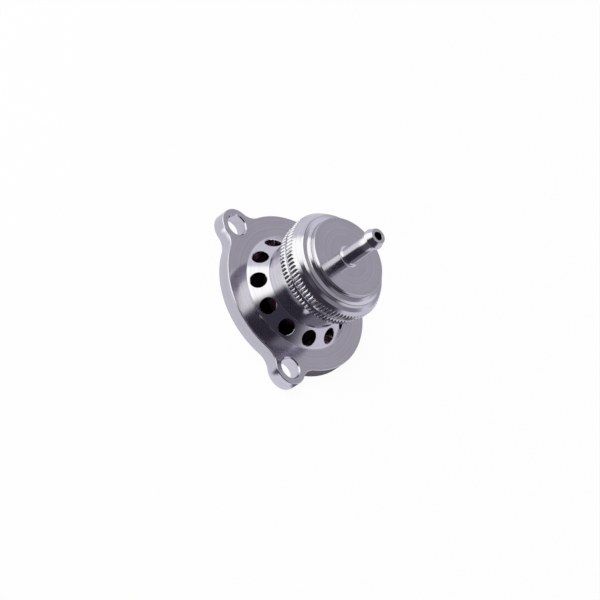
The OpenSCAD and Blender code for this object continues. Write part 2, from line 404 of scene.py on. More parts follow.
def turned(name: str, corners: Sequence[Corner], columns: Sequence[float],
           closed: bool = True) -> bpy.types.Object:
    """Makes a turned piece.

    Args:
        name: The object's name.
        corners: Its profile. An open one ends on the axis, and that of a solid starts there too.
        columns: Angles of the columns of points.
        closed: Whether the profile is a closed loop.

    Returns:
        The object.
    """
    bm = bmesh.new()
    rings = turn_rings(bm, rounded_profile(corners, closed), columns)
    for low, high in zip(rings, rings[1:] + (rings[:1] if closed else [])):
        bridge(bm, low, high)
    return to_object(bm, name)


def torus(name: str, mid_r: float, mid_z: float, section: float) -> bpy.types.Object:
    """Makes an O-ring. Sizes in mm.

    Args:
        name: The object's name.
        mid_r: Radius of the middle of its section.
        mid_z: Height of the middle of its section.
        section: Diameter of its section.

    Returns:
        The object.
    """
    sides, radius = 24, section / 2
    loop = [Corner(mid_r + radius * math.cos(a), mid_z + radius * math.sin(a)) for a in even_angles(sides)]
    return turned(name, loop, even_angles(RING_COLUMNS))


class NodeTool:
    """A Geometry Nodes tree with named inputs, which reshapes an object."""

    def __init__(self, name: str, sizes: dict[str, str]) -> None:
        """Makes the tree.

        Args:
            name: The tree's name.
            sizes: Socket type of each named input.
        """
        self.tree = bpy.data.node_groups.new(name, "GeometryNodeTree")
        face = self.tree.interface
        face.new_socket("Geometry", in_out="INPUT", socket_type="NodeSocketGeometry")
        for label, kind in {**sizes, "Material": "NodeSocketMaterial"}.items():
            face.new_socket(label, in_out="INPUT", socket_type=kind)
        face.new_socket("Geometry", in_out="OUTPUT", socket_type="NodeSocketGeometry")
        self.graph = Graph(self.tree)
        self.source = self.graph.node("NodeGroupInput")

    def size(self, label: str) -> Wire:
        """Returns a named input."""
        return Wire(self.graph, self.source.outputs[label])

    def position(self) -> tuple[Wire, Wire, Wire]:
        """Returns the parts of each point's place."""
        return self.graph.split(self.graph.wire("GeometryNodeInputPosition"))

    def end(self, geometry: Wire) -> None:
        """Closes the tree: real geometry with its material.

        Args:
            geometry: The finished geometry.
        """
        real = self.graph.wire("GeometryNodeRealizeInstances", inputs={"Geometry": geometry})
        dressed = self.graph.wire("GeometryNodeSetMaterial",
                                  inputs={"Geometry": real, "Material": self.size("Material")})
        self.graph.node("NodeGroupOutput", inputs={"Geometry": dressed})

    def apply(self, target: bpy.types.Object, values: dict[str, Any]) -> None:
        """Runs the tree on an object and leaves the result as its plain mesh.

        Args:
            target: The object.
            values: The named inputs.
        """
        modifier = target.modifiers.new(self.tree.name, "NODES")
        modifier.node_group = self.tree
        for item in self.tree.interface.items_tree:
            if item.in_out == "INPUT" and item.name in values:
                modifier[item.identifier] = values[item.name]
        graph = bpy.context.evaluated_depsgraph_get()
        mesh = bpy.data.meshes.new_from_object(target.evaluated_get(graph), depsgraph=graph)
        target.modifiers.remove(modifier)
        old, target.data = target.data, mesh
        bpy.data.meshes.remove(old)
        mesh.name = target.name
        smooth_mesh(mesh)


def radial_move(tool: NodeTool, radius: Wire, selection: Wire) -> Wire:
    """Moves points of a tool's geometry straight in or out.

    Args:
        tool: The tool.
        radius: The new radius of each point.
        selection: 1 for the points that move.

    Returns:
        The changed geometry.
    """
    graph = tool.graph
    x, y, z = tool.position()
    least = 1e-9
    ratio = radius / hypot(x, y).math("MAXIMUM", least)
    return graph.wire("GeometryNodeSetPosition", inputs={
        "Geometry": tool.size("Geometry"), "Selection": selection,
        "Position": graph.join(x * ratio, y * ratio, z)})


def straight_knurl() -> NodeTool:
    """Builds the tree that presses a straight knurl into a band of a turned piece.

    Returns:
        The tool.
    """
    floats = ("Teeth", "Tip Radius", "Depth", "Land", "Band Low", "Band High")
    tool = NodeTool("straight_knurl", dict.fromkeys(floats, "NodeSocketFloat"))
    x, y, z = tool.position()
    off_tooth = tooth_offset(x, y, tool.size("Teeth"))
    depth = tool.size("Depth")
    flank = tool.size("Tip Radius") - depth + depth / (1.0 - tool.size("Land")) * (1.0 - 2.0 * off_tooth)
    band = (z > tool.size("Band Low")) * (z < tool.size("Band High"))
    tool.end(radial_move(tool, hypot(x, y).math("MINIMUM", flank), band))
    return tool


def screw_thread() -> NodeTool:
    """Builds the tree that cuts a screw thread into a cylinder, with a run-out at both ends.

    Returns:
        The tool.
    """
    floats = ("Pitch", "Outer Radius", "Depth", "Band Low", "Band High", "Run-out")
    tool = NodeTool("screw_thread", dict.fromkeys(floats, "NodeSocketFloat"))
    x, y, z = tool.position()
    radius = hypot(x, y)
    phase = (z / tool.size("Pitch") - y.math("ARCTAN2", x) / math.tau).math("FRACT")
    # Distances from the middle of a groove, as shares of the pitch, where its root ends and its crest starts
    root, crest = 0.125, 0.375
    groove = ((crest - abs(phase - 0.5)) / (crest - root)).clamp()
    low, high, run = tool.size("Band Low"), tool.size("Band High"), tool.size("Run-out")
    fade = ((z - low) / run).clamp() * ((high - z) / run).clamp()
    outer = tool.size("Outer Radius")
    skin = 1e-5
    band = (z > low) * (z < high) * (radius > outer - skin)
    tool.end(radial_move(tool, radius - tool.size("Depth") * groove * fade, band))
    return tool


def drilled_ring() -> NodeTool:
    """Builds the tree that drills a ring of holes with copies of a cutter.

    Returns:
        The tool.
    """
    tool = NodeTool("drilled_ring", {"Cutter": "NodeSocketObject", "Count": "NodeSocketInt",
                                     "First Angle": "NodeSocketFloat"})
    graph = tool.graph
    cutter = graph.wire("GeometryNodeObjectInfo", {"transform_space": "ORIGINAL"},
                        {"Object": tool.size("Cutter")}, "Geometry")
    points = graph.wire("GeometryNodePoints", inputs={"Count": tool.size("Count")})
    index = graph.wire("GeometryNodeInputIndex")
    angle = tool.size("First Angle") + index * math.tau / tool.size("Count")
    copies = graph.wire("GeometryNodeInstanceOnPoints", inputs={
        "Points": points, "Instance": cutter, "Rotation": graph.join(0.0, 0.0, angle)})
    drills = graph.wire("GeometryNodeRealizeInstances", inputs={"Geometry": copies})
    tool.end(graph.wire("GeometryNodeMeshBoolean", {"operation": "DIFFERENCE", "solver": "EXACT"},
                        {0: tool.size("Geometry"), 1: drills}))
    return tool


def coiled_wire() -> NodeTool:
    """Builds the tree that winds a compression spring with closed and ground ends.

    Returns:
        The tool.
    """
    sides = 14
    floats = ("Turns", "Coil Radius", "Wire Radius", "Foot", "Length")
    tool = NodeTool("coiled_wire", {**dict.fromkeys(floats, "NodeSocketFloat"), "Steps": "NodeSocketInt"})
    graph = tool.graph
    turns, wire_r, foot, length = (tool.size(n) for n in ("Turns", "Wire Radius", "Foot", "Length"))
    steps = tool.size("Steps")
    line = graph.wire("GeometryNodeMeshLine", inputs={"Count": steps + 1.0})
    turn = graph.wire("GeometryNodeInputIndex") / steps * turns
    # The first and the last turn lie closed, and each of them rises by one wire
    open_turns = turns - 2.0
    closed_rise = 2.0 * wire_r * (turn.math("MINIMUM", 1.0) + (turn - turns + 1.0).math("MAXIMUM", 0.0))
    open_rise = (length - 4.0 * wire_r) * (((turn - 1.0) / open_turns).clamp())
    angle = turn * math.tau
    radius = tool.size("Coil Radius")
    height = foot + closed_rise + open_rise
    place = graph.join(radius * angle.math("COSINE"), radius * angle.math("SINE"), height)
    path = graph.wire("GeometryNodeSetPosition", inputs={"Geometry": line, "Position": place})
    curve = graph.wire("GeometryNodeMeshToCurve", inputs={0: path})
    section = graph.wire("GeometryNodeCurvePrimitiveCircle", inputs={"Resolution": sides, "Radius": wire_r})
    tube = graph.wire("GeometryNodeCurveToMesh", inputs={
        "Curve": curve, "Profile Curve": section, "Fill Caps": True})
    x, y, z = tool.position()
    ground = z.math("MAXIMUM", foot).math("MINIMUM", foot + length)
    tool.end(graph.wire("GeometryNodeSetPosition", inputs={
        "Geometry": tube, "Position": graph.join(x, y, ground)}))
    return tool


def new_graph(name: str) -> tuple[bpy.types.Material, Graph]:
    """Makes an empty node material.

    Args:
        name: The material's name.

    Returns:
        The material and its graph.
    """
    material = bpy.data.materials.new(name)
    material.use_nodes = True
    material.node_tree.nodes.clear()
    return material, Graph(material.node_tree)


def shade(graph: Graph, shader: bpy.types.Node) -> None:
    """Sends a shader node to the material's output."""
    graph.node("ShaderNodeOutputMaterial", inputs={"Surface": Wire(graph, shader.outputs[0])})


def bent_normal(graph: Graph, parts: Sequence[Wire]) -> Wire:
    """Turns a normal from object space into world space.

    Args:
        graph: The material's graph.
        parts: The three parts of the normal.

    Returns:
        The normal, at length 1.
    """
    world = graph.wire("ShaderNodeVectorTransform",
                       {"vector_type": "NORMAL", "convert_from": "OBJECT", "convert_to": "WORLD"},
                       {0: graph.join(*parts)})
    return graph.wire("ShaderNodeVectorMath", {"operation": "NORMALIZE"}, {0: world})


@dataclass(frozen=True)
class KnurlShade:
    """Painted shade in the roots of a knurl: where the knurl is, in mm, and how dark the shade is, from 0 to
    1.
    """

    tip_r: float
    low_z: float
    high_z: float
    share: float
    depth: float = 0.5
    over: float = 0.02

    def band(self, r: Wire, z: Wire) -> Wire:
        """Returns the share of painted shade inside the knurl's band, and 0 outside it."""
        ring = (r > self.tip_r - self.depth) * (r < self.tip_r + self.over)
        return self.share * ring * (z > self.low_z) * (z < self.high_z)


@dataclass(frozen=True)
class TurnedMetal:
    """Metal with the fine rings that a lathe tool leaves."""

    name: str
    bright: tuple[float, float, float]
    dull: tuple[float, float, float]
    roughness: float
    handling: float
    fine_tilt: float
    feed_tilt: float
    fine_per_mm: float = 16.0
    feed_per_mm: float = 1.3
    clouds_per_mm: float = 0.14
    feed_share: float = 0.6
    metallic: float = 1.0
    # Noise levels between which the colour goes from dull to bright, and handling from none to full
    wear_span: tuple[float, float] = (0.3, 0.7)
    handling_span: tuple[float, float] = (0.35, 0.7)
    # Painted shade of the vent chamber, which darkens and roughens it: its colour and added roughness, and
    # its limits in mm: r + z, r and lowest z
    inside: tuple[float, float, float] | None = None
    inside_rough: float = 0.35
    inside_slant: float = 22.3
    inside_r: float = 15.6
    inside_foot: float = 1.5
    # Painted shade in the knurls, with its colour, and where it starts and is full, as shares of the pitch
    # from the middle of a tooth
    painted_shade: tuple[float, float, float] = (0.05, 0.045, 0.06)
    teeth: int = KNURL_TEETH
    root_from: float = 0.22
    root_full: float = 0.46
    knurls: tuple[KnurlShade, ...] = ()
    # Painted shade along edges and joints, in the same colour: r and z of each circle, the line's half width
    # in mm, and its share
    seams: tuple[tuple[float, float], ...] = ()
    seam_w: float = 0.13
    seam_core: float = 0.4
    seam_share: float = 0.85

    def roots(self, x: Wire, y: Wire, z: Wire, r: Wire) -> Wire:
        """Finds the roots of the knurls, where shade is painted.

        Args:
            x: Place along X, in mm.
            y: Place along Y, in mm.
            z: Height, in mm.
            r: Distance from the axis, in mm.

        Returns:
            The share of painted shade: all of it in the roots, 0 on the teeth's lands and on plain metal.
        """
        in_root = tooth_offset(x, y, self.teeth).smooth(self.root_from, self.root_full)
        bands = [knurl.band(r, z) for knurl in self.knurls]
        return in_root * sum(bands[1:], bands[0])

    def seam_lines(self, z: Wire, r: Wire) -> Wire:
        """Finds the seams, where dark lines of shade are painted.

        Args:
            z: Height, in mm.
            r: Distance from the axis, in mm.

        Returns:
            1 along the seams, 0 away from them.
        """
        lines = []
        for at_r, at_z in self.seams:
            away = hypot(r - at_r, z - at_z)
            lines.append(1.0 - away.smooth(self.seam_core * self.seam_w, self.seam_w))
        return sum(lines[1:], lines[0])

    def material(self) -> bpy.types.Material:
        """Builds the material: rings tilt the normal along the profile, and handling dulls it in clouds.

        Returns:
            The material.
        """
        material, graph = new_graph(self.name)
        coords = graph.node("ShaderNodeTexCoord")
        spot = Wire(graph, coords.outputs["Object"])
        x, y, z = (part / MM for part in graph.split(spot))
        nx, ny, nz = graph.split(Wire(graph, coords.outputs["Normal"]))
        least_r = 0.01
        r = hypot(x, y).math("MAXIMUM", least_r)
        cx, cy = x / r, y / r
        nr = nx * cx + ny * cy
        along = z * nr - r * nz
        fine = graph.noise_1d(along, self.fine_per_mm)
        feed = graph.noise_1d(along, self.feed_per_mm)
        tilt = (fine - 0.5) * self.fine_tilt + (feed - 0.5) * self.feed_tilt
        normal = bent_normal(graph, (nx - tilt * nz * cx, ny - tilt * nz * cy, nz + tilt * nr))
        clouds = graph.noise_3d(spot, self.clouds_per_mm / MM)
        wear = self.feed_share * feed + (1.0 - self.feed_share) * clouds
        colour = graph.mix_colour(wear.smooth(*self.wear_span), self.dull, self.bright)
        roughness = self.roughness + self.handling * clouds.smooth(*self.handling_span)
        # Painted shade: the recess of the vent chamber is darkened and roughened where the metal lies in
        # shadow
        if self.inside:
            mask = (r + z < self.inside_slant) * (r < self.inside_r) * (z > self.inside_foot)
            colour = graph.mix_colour(mask, colour, self.inside)
            roughness = roughness + self.inside_rough * mask
        # Painted shade: the roots of the knurls are darkened
        if self.knurls:
            colour = graph.mix_colour(self.roots(x, y, z, r), colour, self.painted_shade)
        # Painted shade: dark lines along the cap's shoulder and boss and at the joint of cap and body
        if self.seams:
            colour = graph.mix_colour(self.seam_share * self.seam_lines(z, r), colour, self.painted_shade)
        shader = graph.node("ShaderNodeBsdfPrincipled", inputs={
            "Metallic": self.metallic, "Base Color": colour, "Roughness": roughness, "Normal": normal})
        shade(graph, shader)
        return material


@dataclass(frozen=True)
class MouldedFinish:
    """Rubber or polymer with a fine moulded skin."""

    name: str
    pale: tuple[float, float, float]
    dark: tuple[float, float, float]
    roughness: float
    grain_mm: float
    grain_height: float
    clouds_per_mm: float = 0.25
    bump: float = 0.5
    patchy: float = 0.15
    # Noise levels between which the colour goes from dark to pale
    pale_span: tuple[float, float] = (0.35, 0.65)

    def material(self) -> bpy.types.Material:
        """Builds the material: a cloudy colour, a patchy sheen and a fine bump.

        Returns:
            The material.
        """
        material, graph = new_graph(self.name)
        spot = Wire(graph, graph.node("ShaderNodeTexCoord").outputs["Object"])
        clouds = graph.noise_3d(spot, self.clouds_per_mm / MM)
        grain = graph.noise_3d(spot, 1.0 / (self.grain_mm * MM), detail=2.0)
        bump = graph.wire("ShaderNodeBump", inputs={
            "Strength": self.bump, "Distance": self.grain_height * MM, "Height": grain})
        shader = graph.node("ShaderNodeBsdfPrincipled", inputs={
            "Base Color": graph.mix_colour(clouds.smooth(*self.pale_span), self.dark, self.pale),
            "Roughness": self.roughness + self.patchy * (grain - 0.5),
            "Normal": bump})
        shade(graph, shader)
        return material


@dataclass(frozen=True)
class DrawnSteel:
    """Spring wire and strip with faint drawing lines and a blued cast."""

    name: str
    bright: tuple[float, float, float]
    dull: tuple[float, float, float]
    roughness: float
    streaks_per_mm: float = 9.0
    clouds_per_mm: float = 0.3
    patchy: float = 0.2
    streak_share: float = 0.5
    # Noise levels between which the colour goes from dull to bright
    temper_span: tuple[float, float] = (0.35, 0.65)

    def material(self) -> bpy.types.Material:
        """Builds the material: streaks round the axis and cloudy temper colour.

        Returns:
            The material.
        """
        material, graph = new_graph(self.name)
        spot = Wire(graph, graph.node("ShaderNodeTexCoord").outputs["Object"])
        x, y, _ = graph.split(spot)
        streaks = graph.noise_1d(hypot(x, y) / MM, self.streaks_per_mm)
        clouds = graph.noise_3d(spot, self.clouds_per_mm / MM)
        temper = self.streak_share * streaks + (1.0 - self.streak_share) * clouds
        shader = graph.node("ShaderNodeBsdfPrincipled", inputs={
            "Metallic": 1.0,
            "Base Color": graph.mix_colour(temper.smooth(*self.temper_span), self.dull, self.bright),
            "Roughness": self.roughness + self.patchy * (streaks - 0.5)})
        shade(graph, shader)
        return material


@dataclass(frozen=True)
class Tools:
    """The node tools that the pieces share."""

    knurl: NodeTool
    thread: NodeTool
    drill: NodeTool
    coil: NodeTool


def stretch(start: Corner, end: Corner, parts: int) -> list[Corner]:
    """Returns the corners that cut the straight line between two corners into parts, ends left out."""
    return [Corner(start.r + (end.r - start.r) * k / parts, start.z + (end.z - start.z) * k / parts)
            for k in range(1, parts)]


def ring_corners(in_r: float, out_r: float, low: float, high: float, edges: Sequence[Edge]) -> list[Corner]:
    """Draws the section of a flat ring. Sizes in mm.

    Args:
        in_r: Radius of its hole.
        out_r: Its outer radius.
        low: Height of its lower face.
        high: Height of its upper face.
        edges: Its edge rounds: inner and outer below, then outer and inner above.

    Returns:
        Its four corners, in the edges' order.
    """
    places = ((in_r, low), (out_r, low), (out_r, high), (in_r, high))
    return [Corner(r, z, edge) for (r, z), edge in zip(places, edges)]


def dress(piece: bpy.types.Object, node: str, body: Body, slot: Slot, material: bpy.types.Material) -> None:
    """Gives a piece its material and its body, and hides the solid that it stands for.

    Args:
        piece: The finished object.
        node: The solid that it replaces.
        body: The body that it moves with.
        slot: The record's material slot; not used.
        material: Its finish.
    """
    piece.data.materials.clear()
    piece.data.materials.append(material)
    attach(piece, body.value)
    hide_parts(node)
    log.info("%s: %d faces on %s, finish %s", piece.name, len(piece.data.polygons), body.value, material.name)


@dataclass(frozen=True)
class Knurl:
    """A straight knurl, in mm."""

    teeth: int = KNURL_TEETH
    depth: float = 0.42
    # Width of a tooth's land and place of a point on its flank, as shares of the pitch
    land: float = 0.2
    flank: float = 0.3
    # Rows of facets along a run-out, and how far the pressed band reaches past the faces that end it
    rows: int = 4
    margin: float = 0.05

    def columns(self) -> list[float]:
        """Returns the angles of the points that draw each tooth: both edges of its land, flanks and root."""
        places = (self.land / 2, self.flank, 0.5, 1 - self.flank, 1 - self.land / 2)
        return [math.tau * (tooth + place) / self.teeth for tooth in range(self.teeth) for place in places]

    def press(self, tool: NodeTool, target: bpy.types.Object, tip_r: float, low: float, high: float,
              material: bpy.types.Material) -> None:
        """Presses the knurl into a band of a turned object.

        Args:
            tool: The node tool that moves the points.
            target: The object.
            tip_r: Radius of the teeth's tips, in mm.
            low: Lowest height of the band, in mm.
            high: Highest height of the band, in mm.
            material: The object's finish.
        """
        tool.apply(target, {
            "Teeth": float(self.teeth), "Tip Radius": tip_r * MM, "Depth": self.depth * MM, "Land": self.land,
            "Band Low": low * MM, "Band High": high * MM, "Material": material})


@dataclass(frozen=True)
class ValveBody:
    """Flange, vented cone, neck and grip ring in one piece, with the seal in its face. Sizes in mm."""

    flange_r: float = 25.6
    flange_t: float = 4.5
    flange_edge: float = 0.22
    flange_edge_steps: int = 4
    foot_edge: float = 0.2
    foot_edge_steps: int = 3
    lugs: int = 3
    lug_reach: float = 27.1
    lug_r: float = 5.35
    lug_hollow_r: float = 5.5
    first_lug: float = math.pi / 2
    # Parts of the arcs that draw the flange's edge: rim, hollow beside a lug, and lug
    rim_parts: int = 14
    hollow_parts: int = 12
    lug_parts: int = 30
    hole_r: float = 3.25
    hole_break: float = 0.3
    plain_r: float = 22.0
    cone_r: float = 18.7
    neck_r: float = 14.0
    neck_z: float = 9.2
    cone_slope: float = math.pi / 4
    cone_rows: int = 4
    ring_z: float = 17.5
    ring_r: float = 16.6
    ring_top_r: float = 15.95
    grip_z: float = 19.15
    collar_r: float = 16.2
    collar_z: float = 19.57
    joint_z: float = 20.4
    thread_r: float = 13.5
    thread_depth: float = 0.85
    thread_pitch: float = 1.5
    thread_foot: float = 0.25
    thread_row: float = 0.125
    thread_run: float = 0.9
    neck_top_z: float = 25.7
    thread_break: float = 0.4
    bore_r: float = 11.0
    bore_z: float = 9.937
    chamber_r: float = 15.036
    chamber_top_z: float = 5.901
    chamber_floor_z: float = 1.8
    seat_r: float = 10.5
    seat_z: float = 2.3
    inlet_r: float = 9.5
    groove_in_r: float = 17.036
    groove_out_r: float = 18.676
    groove_h: float = 1.52
    vents: int = 12
    vent_r: float = 2.5
    vent_break: float = 0.2
    vent_depth: float = 4.5
    seal_section: float = 1.4
    knurl: Knurl = Knurl()

    def outline(self) -> list[tuple[Vector, Vector]]:
        """Walks once round the flange's edge.

        Returns:
            Places on the outline, anticlockwise, each with its outward direction.
        """
        reach = self.flange_r + self.lug_hollow_r
        bearing = math.acos((self.lug_reach ** 2 + reach ** 2 - (self.lug_r + self.lug_hollow_r) ** 2)
                            / (2 * self.lug_reach * reach))
        hollow = Vector((reach * math.cos(bearing), reach * math.sin(bearing)))
        lug = Vector((self.lug_reach, 0.0))
        to_hollow = hollow - lug
        lug_a = math.atan2(to_hollow.y, to_hollow.x)
        half_pitch = math.pi / self.lugs
        centre = Vector((0.0, 0.0))
        mirror = Vector((hollow.x, -hollow.y))
        # Centre, signed radius, first and last angle and parts of each arc of one lug's share of the edge
        arcs = ((centre, self.flange_r, -half_pitch, -bearing, self.rim_parts),
                (mirror, -self.lug_hollow_r, -bearing, -lug_a, self.hollow_parts),
                (lug, self.lug_r, -lug_a, lug_a, self.lug_parts),
                (hollow, -self.lug_hollow_r, lug_a, bearing, self.hollow_parts),
                (centre, self.flange_r, bearing, half_pitch, self.rim_parts))
        walk = []
        for k in range(self.lugs):
            turn = Matrix.Rotation(self.first_lug + 2 * half_pitch * k, 2)
            for middle, radius, start, end, parts in arcs:
                for step in range(parts):
                    angle = start + (end - start) * step / parts
                    out = Vector((math.cos(angle), math.sin(angle)))
                    walk.append((turn @ (middle + radius * out), turn @ out))
        return walk

    def edge_rows(self) -> list[tuple[float, float]]:
        """Rounds the flange's edge.

        Returns:
            The inset and height of each row round the edge, from the top face to the foot.
        """
        rows = [(self.flange_edge + SUPPORT, self.flange_t)]
        # Radius, side, height and parts of the rounds of the upper and the lower edge
        rims = ((self.flange_edge, 1, self.flange_t, self.flange_edge_steps),
                (self.foot_edge, -1, 0.0, self.foot_edge_steps))
        for edge, sign, face, steps in rims:
            arc = [(edge * (1 - math.cos(a)), face - sign * edge * (1 - math.sin(a)))
                   for a in (math.pi / 2 * (1 - k / steps) for k in range(steps + 1))]
            strip = (0.0, face - sign * (edge + SUPPORT))
            rows += [*arc, strip] if sign > 0 else [strip, *reversed(arc)]
        return rows + [(self.foot_edge + SUPPORT, 0.0)]

    def hub_corners(self) -> list[Corner]:
        """Draws the turned part of the body.

        Returns:
            The profile from the flange's top face over the hub and through the bore to its foot.
        """
        depth, rows = self.knurl.depth, self.knurl.rows
        foot = Corner(self.cone_r, self.flange_t, Edge.CRISP)
        shoulder = Corner(self.neck_r, self.neck_z, Edge.BLUNT)
        ring_in = Corner(self.ring_r - depth, self.ring_z)
        ring_low = Corner(self.ring_r, self.ring_z + depth)
        ring_high = Corner(self.ring_r, self.grip_z)
        collar = Corner(self.collar_r, self.collar_z)
        neck_low = Corner(self.thread_r, self.joint_z + self.thread_foot)
        neck_high = Corner(self.thread_r, self.neck_top_z - self.thread_break)
        thread_rows = round((neck_high.z - neck_low.z) / self.thread_row)
        return [Corner(self.plain_r, self.flange_t),
                foot, *stretch(foot, shoulder, self.cone_rows), shoulder,
                Corner(self.neck_r, self.ring_z, Edge.FINE),
                ring_in, *stretch(ring_in, ring_low, rows), ring_low,
                ring_high, *stretch(ring_high, collar, rows), collar,
                Corner(self.ring_top_r, self.joint_z, Edge.CRISP),
                Corner(self.thread_r, self.joint_z, Edge.LAPPED),
                neck_low, *stretch(neck_low, neck_high, thread_rows), neck_high,
                Corner(self.thread_r - self.thread_break, self.neck_top_z),
                Corner(self.bore_r, self.neck_top_z, Edge.EASED),
                Corner(self.bore_r, self.bore_z, Edge.FINE),
                Corner(self.chamber_r, self.chamber_top_z, Edge.SOFT),
                Corner(self.chamber_r, self.chamber_floor_z, Edge.SOFT),
                Corner(self.seat_r, self.chamber_floor_z, Edge.FINE),
                Corner(self.seat_r, self.seat_z, Edge.KEEN),
                Corner(self.inlet_r, self.seat_z, Edge.KEEN),
                Corner(self.inlet_r, 0.0, Edge.SOFT),
                Corner(self.groove_in_r, 0.0, Edge.FINE),
                Corner(self.groove_in_r, self.groove_h, Edge.FINE),
                Corner(self.groove_out_r, self.groove_h, Edge.FINE),
                Corner(self.groove_out_r, 0.0, Edge.FINE),
                Corner(self.plain_r, 0.0)]

    def blank(self) -> bpy.types.Object:
        """Makes the body before it is knurled, threaded and drilled.

        Returns:
            The object.
        """
        bm = bmesh.new()
        rings = turn_rings(bm, rounded_profile(self.hub_corners(), False), self.knurl.columns())
        walk = self.outline()
        rows = [[bm.verts.new((*((place - out * inset) * MM), z * MM)) for place, out in walk]
                for inset, z in self.edge_rows()]
        for chain in (rings, rows):
            for low, high in zip(chain, chain[1:]):
                bridge(bm, low, high)
        zip_rings(bm, rings[0], self.by_angle(rows[0]))
        zip_rings(bm, rings[-1], self.by_angle(rows[-1]))
        return to_object(bm, "body_turned")

    @staticmethod
    def by_angle(ring: list) -> list:
        """Returns a ring's points from the one at the lowest angle on."""
        first = min(range(len(ring)), key=lambda k: math.atan2(ring[k].co.y, ring[k].co.x))
        return ring[first:] + ring[:first]

    def cutters(self) -> tuple[bpy.types.Object, bpy.types.Object]:
        """Makes the two drills, each at its first place on the +X side.

        Returns:
            The vents' drill and the bolt holes' drill.
        """
        past = 1.0
        columns = even_angles(DRILL_COLUMNS)
        vent = turned("vent_drill", [
            Corner(0, -self.vent_depth), Corner(self.vent_r, -self.vent_depth),
            Corner(self.vent_r, -self.vent_break), Corner(self.vent_r + self.vent_break + past, past),
            Corner(0, past)], columns, False)
        middle = Vector(((self.cone_r + self.neck_r) / 2, 0.0, (self.flange_t + self.neck_z) / 2)) * MM
        vent.data.transform(Matrix.Translation(middle) @ Matrix.Rotation(self.cone_slope, 4, "Y"))
        flare = self.hole_r + self.hole_break + past
        bolt = turned("bolt_drill", [
            Corner(0, -past), Corner(flare, -past), Corner(self.hole_r, self.hole_break),
            Corner(self.hole_r, self.flange_t - self.hole_break), Corner(flare, self.flange_t + past),
            Corner(0, self.flange_t + past)], columns, False)
        bolt.data.transform(Matrix.Translation((self.lug_reach * MM, 0.0, 0.0)))
        return vent, bolt

    def build(self, tools: Tools, metal: bpy.types.Material, rubber: bpy.types.Material) -> None:
        """Makes and dresses the body and the O-ring in its mounting face.

        Args:
            tools: The node tools.
            metal: Finish of the body.
            rubber: Finish of the O-ring.
        """
        body = self.blank()
        margin = self.knurl.margin
        self.knurl.press(tools.knurl, body, self.ring_r, self.ring_z - margin, self.joint_z + margin, metal)
        tools.thread.apply(body, {
            "Pitch": self.thread_pitch * MM, "Outer Radius": self.thread_r * MM,
            "Depth": self.thread_depth * MM, "Band Low": (self.joint_z + self.thread_foot) * MM,
            "Band High": self.neck_top_z * MM, "Run-out": self.thread_run * MM, "Material": metal})
        vent, bolt = self.cutters()
        holes = ((vent, self.vents, math.pi / self.vents), (bolt, self.lugs, self.first_lug))
        for cutter, count, first in holes:
            tools.drill.apply(body, {
                "Cutter": cutter, "Count": count, "First Angle": first, "Material": metal})
            bpy.data.objects.remove(cutter)
        dress(body, "valve_body", Body.VALVE, Slot.ALUMINIUM, metal)
        groove_r = (self.groove_in_r + self.groove_out_r) / 2
        seal = torus("face_seal", groove_r, self.groove_h / 2, self.seal_section)
        dress(seal, "base_oring", Body.VALVE, Slot.RUBBER, rubber)


@dataclass(frozen=True)
class PistonSet:
    """Piston with its nose ring, guide ring and O-ring. Sizes in mm."""

    nose_z: float = 1.66
    spigot_r: float = 8.5
    seal_z: float = 2.36
    ledge_z: float = 3.61
    skirt_r: float = 10.8
    top_z: float = 18.7
    pocket_r: float = 7.8
    pocket_z: float = 5.61
    guide_in_r: float = 9.6
    guide_out_r: float = 10.94
    guide_z: float = 10.937
    guide_w: float = 2.5
    ring_root_r: float = 9.1
    ring_z: float = 16.49
    ring_w: float = 2.02
    ring_r: float = 10.05
    ring_section: float = 1.78
    gap: float = 0.06

    def piston_corners(self) -> list[Corner]:
        """Draws the piston.

        Returns:
            Its profile, from the middle of its nose to the middle of its pocket.
        """
        guide_root = self.guide_in_r - self.gap
        guide_low, guide_high = self.guide_z - self.gap, self.guide_z + self.guide_w + self.gap
        ring_low, ring_high = self.ring_z - self.ring_w / 2, self.ring_z + self.ring_w / 2
        return [Corner(0, self.nose_z),
                Corner(self.spigot_r, self.nose_z, Edge.FULL),
                Corner(self.spigot_r, self.ledge_z),
                Corner(self.skirt_r, self.ledge_z, Edge.FINE),
                Corner(self.skirt_r, guide_low, Edge.FINE),
                Corner(guide_root, guide_low),
                Corner(guide_root, guide_high),
                Corner(self.skirt_r, guide_high, Edge.FINE),
                Corner(self.skirt_r, ring_low, Edge.FINE),
                Corner(self.ring_root_r, ring_low, Edge.FINE),
                Corner(self.ring_root_r, ring_high, Edge.FINE),
                Corner(self.skirt_r, ring_high, Edge.FINE),
                Corner(self.skirt_r, self.top_z, Edge.FULL),
                Corner(self.pocket_r, self.top_z, Edge.SOFT),
                Corner(self.pocket_r, self.pocket_z, Edge.SOFT),
                Corner(0, self.pocket_z)]

    def build(self, anodised: bpy.types.Material, rubber: bpy.types.Material,
              polymer: bpy.types.Material) -> None:
        """Makes and dresses the piston and the three rings on it.

        Args:
            anodised: Finish of the piston.
            rubber: Finish of the nose ring and the O-ring.
            polymer: Finish of the guide ring.
        """
        columns = even_angles(RING_COLUMNS)
        piston = turned("piston_turned", self.piston_corners(), columns, False)
        dress(piston, "piston", Body.PISTON, Slot.PISTON, anodised)
        nose = turned("nose_seal", ring_corners(
            self.spigot_r + self.gap, self.skirt_r, self.seal_z, self.ledge_z,
            (Edge.FINE, Edge.EASED, Edge.FINE, Edge.FINE)), columns)
        dress(nose, "piston_seal", Body.PISTON, Slot.RUBBER, rubber)
        guide = turned("guide_band", ring_corners(
            self.guide_in_r, self.guide_out_r, self.guide_z, self.guide_z + self.guide_w,
            (Edge.FINE, Edge.EASED, Edge.EASED, Edge.FINE)), columns)
        dress(guide, "piston_guide_ring", Body.PISTON, Slot.POLYMER, polymer)
        dress(torus("piston_seal_ring", self.ring_r, self.ring_z, self.ring_section), "piston_oring",
              Body.PISTON, Slot.RUBBER, rubber)


